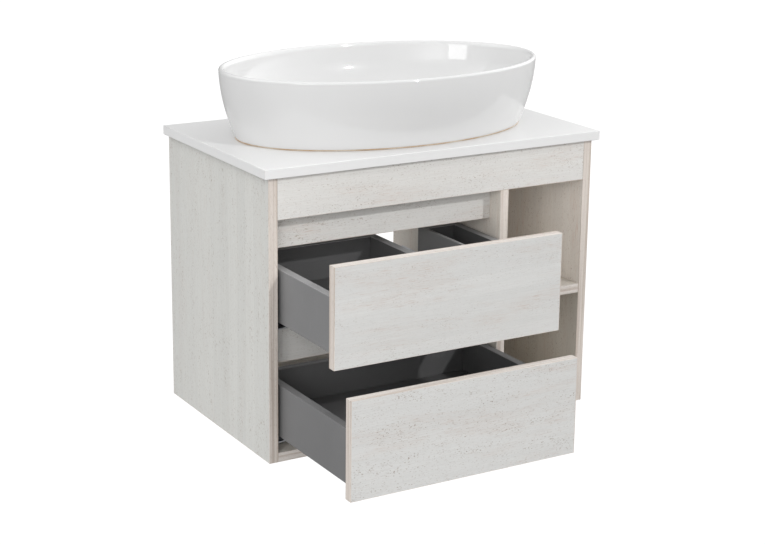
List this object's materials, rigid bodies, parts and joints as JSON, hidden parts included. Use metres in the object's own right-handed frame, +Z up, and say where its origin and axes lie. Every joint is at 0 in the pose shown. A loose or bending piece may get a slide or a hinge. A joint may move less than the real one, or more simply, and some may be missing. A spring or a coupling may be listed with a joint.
{
  "type": "wall-hung vanity with vessel basin",
  "caption": "Wall-hung bathroom vanity in whitewashed wood grain: oval vessel basin on a white worktop, two inset handleless drawers on full-extension runners, open side niche.",
  "frame": {"origin": "centre of the hanging rail's back face, on the wall", "axes": "+X to the right seen from the front, +Y towards the wall, +Z up"},
  "size_m": [0.65, 0.6175, 0.6154],
  "materials": {
    "woodgrain_board": "whitewashed wood-grain melamine, fine open-pore emboss, matt",
    "drawer_grey_board": "graphite grey laminated board, matt",
    "worktop_white": "white lacquered board, semi-gloss",
    "basin_glaze": "white glaze, gloss",
    "sealant": "matt bead",
    "seal_rubber": "matt",
    "chrome": "polished",
    "zinc_steel": "zinc plated",
    "white_plastic": "moulded, satin",
    "clip_plastic": "moulded, matt"
  },
  "bodies": {
    "cabinet": {"apron": "woodgrain_board", "basin": "basin_glaze", "basin_seal": "sealant", "bottom_panel": "woodgrain_board", "divider": "woodgrain_board", "front_stretcher": "woodgrain_board", "grip_rail_middle": "woodgrain_board", "grip_rail_upper": "woodgrain_board", "hanger_left": "white_plastic", "hanger_right": "white_plastic", "hanging_rail": "woodgrain_board", "lower_back_rail": "woodgrain_board", "lower_runner_cabinet_left": "zinc_steel", "lower_runner_cabinet_right": "zinc_steel", "niche_back": "woodgrain_board", "niche_shelf": "woodgrain_board", "outlet_pipe": "white_plastic", "side_panel_left": "woodgrain_board", "side_panel_right": "woodgrain_board", "trap_body": "white_plastic", "trap_cup": "white_plastic", "trap_inlet_nut": "white_plastic", "trap_outlet_nut": "white_plastic", "upper_runner_cabinet_left": "zinc_steel", "upper_runner_cabinet_right": "zinc_steel", "wall_rosette": "chrome", "waste_backnut": "zinc_steel", "waste_body": "chrome", "waste_seal_lower": "seal_rubber", "waste_seal_upper": "seal_rubber", "waste_tailpiece": "white_plastic", "worktop": "worktop_white"},
    "upper_drawer": {"upper_drawer_back_left": "drawer_grey_board", "upper_drawer_back_right": "drawer_grey_board", "upper_drawer_clip_left": "clip_plastic", "upper_drawer_clip_right": "clip_plastic", "upper_drawer_floor": "drawer_grey_board", "upper_drawer_front": "woodgrain_board", "upper_drawer_notch_front": "drawer_grey_board", "upper_drawer_notch_left": "drawer_grey_board", "upper_drawer_notch_right": "drawer_grey_board", "upper_drawer_side_left": "drawer_grey_board", "upper_drawer_side_right": "drawer_grey_board", "upper_runner_drawer_left": "zinc_steel", "upper_runner_drawer_right": "zinc_steel"},
    "upper_runner_middle": {"upper_runner_middle_left": "zinc_steel", "upper_runner_middle_right": "zinc_steel"},
    "lower_drawer": {"lower_drawer_back": "drawer_grey_board", "lower_drawer_clip_left": "clip_plastic", "lower_drawer_clip_right": "clip_plastic", "lower_drawer_floor": "drawer_grey_board", "lower_drawer_front": "woodgrain_board", "lower_drawer_side_left": "drawer_grey_board", "lower_drawer_side_right": "drawer_grey_board", "lower_runner_drawer_left": "zinc_steel", "lower_runner_drawer_right": "zinc_steel"},
    "lower_runner_middle": {"lower_runner_middle_left": "zinc_steel", "lower_runner_middle_right": "zinc_steel"},
    "waste_plug": {"waste_plug": "chrome"}
  },
  "joints": [
    {"name": "upper_drawer_slide", "type": "slide", "parent": "cabinet", "child": "upper_drawer", "axis": [0, -1, 0], "range_m": [-0.1815, 0.1185]},
    {"name": "upper_runner_slide", "type": "slide", "parent": "cabinet", "child": "upper_runner_middle", "axis": [0, -1, 0], "range_m": [-0.09075, 0.05925]},
    {"name": "lower_drawer_slide", "type": "slide", "parent": "cabinet", "child": "lower_drawer", "axis": [0, -1, 0], "range_m": [-0.2355, 0.0645]},
    {"name": "lower_runner_slide", "type": "slide", "parent": "cabinet", "child": "lower_runner_middle", "axis": [0, -1, 0], "range_m": [-0.11775, 0.03225]},
    {"name": "waste_plug_slide", "type": "slide", "parent": "cabinet", "child": "waste_plug", "axis": [0, 0, 1], "range_m": [0, 0.008]}
  ],
  "couplings": [
    {"joint": "upper_runner_slide", "follows": "upper_drawer_slide", "ratio": 0.5},
    {"joint": "lower_runner_slide", "follows": "lower_drawer_slide", "ratio": 0.5}
  ]
}
